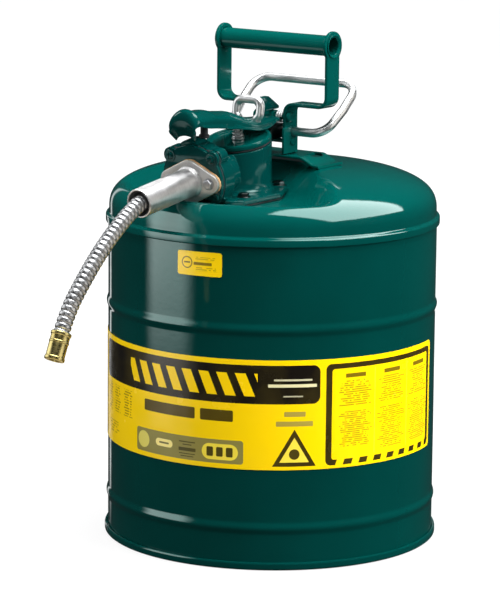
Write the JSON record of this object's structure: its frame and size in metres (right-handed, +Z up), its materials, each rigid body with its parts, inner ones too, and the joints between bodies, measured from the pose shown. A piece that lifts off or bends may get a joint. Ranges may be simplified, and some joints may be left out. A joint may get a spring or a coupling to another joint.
{
  "type": "safety gas can",
  "caption": "Round steel fuel safety can with a bolted pour and fill manifold, spring lid on a lever, squeeze trigger under the handle and a flexible metal hose.",
  "frame": {"origin": "on the flat underside of the bottom rim, at its front, straight below the spout, in the plane the can stands on; the can's own axis is the vertical line at y = +0.1454 m", "axes": "+Z up along the can's axis; -Y towards the pouring end, the way the hose points; X along the handle grip; the model is close to mirror-symmetric about X = 0"},
  "size_m": [0.298, 0.4658, 0.453],
  "materials": {
    "enamel": "glossy deep green enamel on steel",
    "enamel_cast": "green enamel on cast metal",
    "zinc": "bright zinc plate",
    "steel": "plain steel",
    "brass": "satin brass",
    "rubber": "matt black nitrile rubber",
    "fibre": "tan fibre gasket sheet",
    "label": "yellow printed vinyl film",
    "screen": "fine woven steel mesh",
    "black_steel": "dark finished steel"
  },
  "bodies": {
    "can": {"body_side": "enamel", "bottom_pan": "enamel", "top_dome": "enamel", "label_band": "label", "hazard_sticker": "label", "manifold_gasket": "rubber", "manifold_casting": "enamel_cast", "base_screw_1": "black_steel", "base_screw_2": "black_steel", "base_screw_3": "black_steel", "base_screw_4": "black_steel", "spout_cover_gasket": "rubber", "spout_cover": "enamel_cast", "cover_screw_1": "enamel_cast", "cover_screw_2": "enamel_cast", "cover_screw_3": "enamel_cast", "cover_screw_4": "enamel_cast", "hose_flange_gasket": "fibre", "hose_flange": "zinc", "flange_bolt_left": "zinc", "flange_bolt_right": "zinc", "hose_guard_tube": "zinc", "hose_root": "steel", "fill_flame_arrester": "screen", "lever_hinge_pin": "enamel", "lid_spring": "zinc", "lever_bumper": "rubber", "saddle_bracket": "enamel", "handle_strap_left": "enamel", "handle_strap_right": "enamel", "stem_cheek_left": "enamel", "stem_cheek_right": "enamel", "grip_tube": "enamel", "stem_spacer_pin": "enamel", "valve_seat_ring": "brass", "valve_chamber": "steel", "gland_nut": "brass", "plunger_spring": "zinc", "pour_flame_arrester": "screen", "transfer_tube": "steel"},
    "trigger": {"trigger_bail": "zinc", "trigger_cam": "black_steel"},
    "valve": {"valve_stem": "steel", "valve_disc": "rubber"},
    "lid": {"fill_cap": "enamel", "cap_seal": "rubber", "cap_stud": "zinc", "cap_spring": "zinc", "lid_lever": "enamel", "lever_hinge_barrel": "enamel", "lever_hoop": "zinc", "lever_heel_plate": "enamel"},
    "hose_1": {"hose_length_1": "steel"},
    "hose_2": {"hose_length_2": "steel"},
    "hose_3": {"hose_length_3": "steel", "hose_tip": "brass"}
  },
  "joints": [
    {"name": "trigger_squeeze", "type": "hinge", "parent": "can", "child": "trigger", "pos_m": [0, 0.1502, 0.362], "axis": [1, 0, 0], "range_deg": [0, 12]},
    {"name": "pour_valve_travel", "type": "slide", "parent": "can", "child": "valve", "axis": [0, 0, -1], "range_m": [0, 0.0048], "deforming": ["plunger_spring"]},
    {"name": "lid_open", "type": "hinge", "parent": "can", "child": "lid", "pos_m": [0, 0.1444, 0.375], "axis": [-1, 0, 0], "range_deg": [0, 55]},
    {"name": "hose_bend_1", "type": "hinge", "parent": "can", "child": "hose_1", "pos_m": [0, -0.0531, 0.3186], "axis": [1, 0, 0], "range_deg": [-12, 12]},
    {"name": "hose_bend_2", "type": "hinge", "parent": "hose_1", "child": "hose_2", "pos_m": [0, -0.0916, 0.2952], "axis": [1, 0, 0], "range_deg": [-12, 12]},
    {"name": "hose_bend_3", "type": "hinge", "parent": "hose_2", "child": "hose_3", "pos_m": [0, -0.1282, 0.2622], "axis": [1, 0, 0], "range_deg": [-12, 12]}
  ],
  "couplings": [
    {"joint": "pour_valve_travel", "follows": "trigger_squeeze", "m_per_rad": 0.0225},
    {"joint": "hose_bend_2", "follows": "hose_bend_1", "ratio": 1},
    {"joint": "hose_bend_3", "follows": "hose_bend_1", "ratio": 1}
  ]
}
